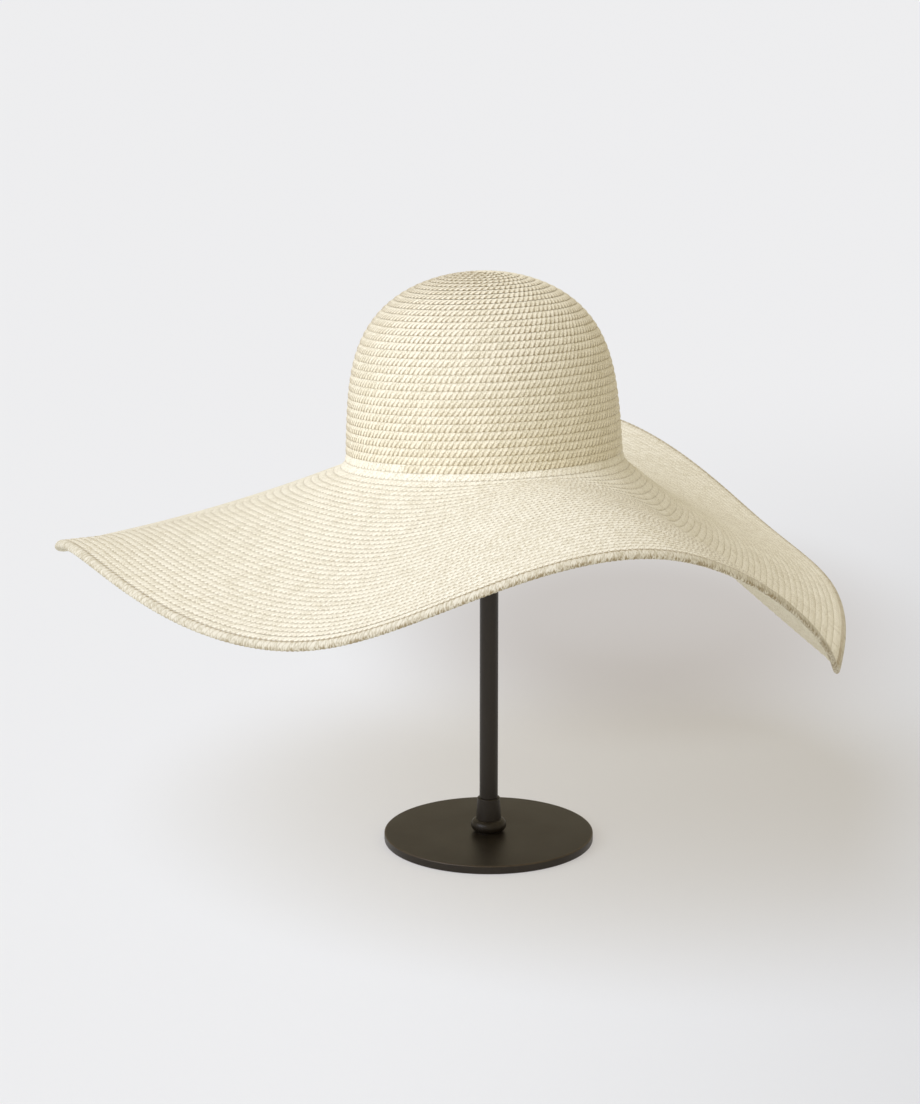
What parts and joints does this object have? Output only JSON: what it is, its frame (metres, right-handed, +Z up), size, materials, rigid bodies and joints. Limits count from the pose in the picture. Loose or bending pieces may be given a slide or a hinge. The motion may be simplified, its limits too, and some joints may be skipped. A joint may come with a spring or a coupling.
{
  "type": "straw capeline hat on display stand",
  "caption": "Wide-brimmed sewn straw capeline hat with a round crown and a wavy brim, set on a plain dark metal post stand with a round foot",
  "frame": {"origin": "the centre of the stand's flat underside", "axes": "+Z up, the hat's front towards -Y, the hat tilted back on the stand by 6.8 degrees"},
  "size_m": [0.5288, 0.5765, 0.3927],
  "materials": {
    "straw": "matt paper-straw braid in sewn rows",
    "straw_edge": "matt folded straw braid",
    "stand_metal": "satin dark bronze"
  },
  "bodies": {
    "root": {"crown": "straw", "brim": "straw", "brim_edge": "straw_edge", "stand_base": "stand_metal", "stand_collar": "stand_metal", "stand_post": "stand_metal", "stand_rest": "stand_metal"}
  },
  "joints": []
}
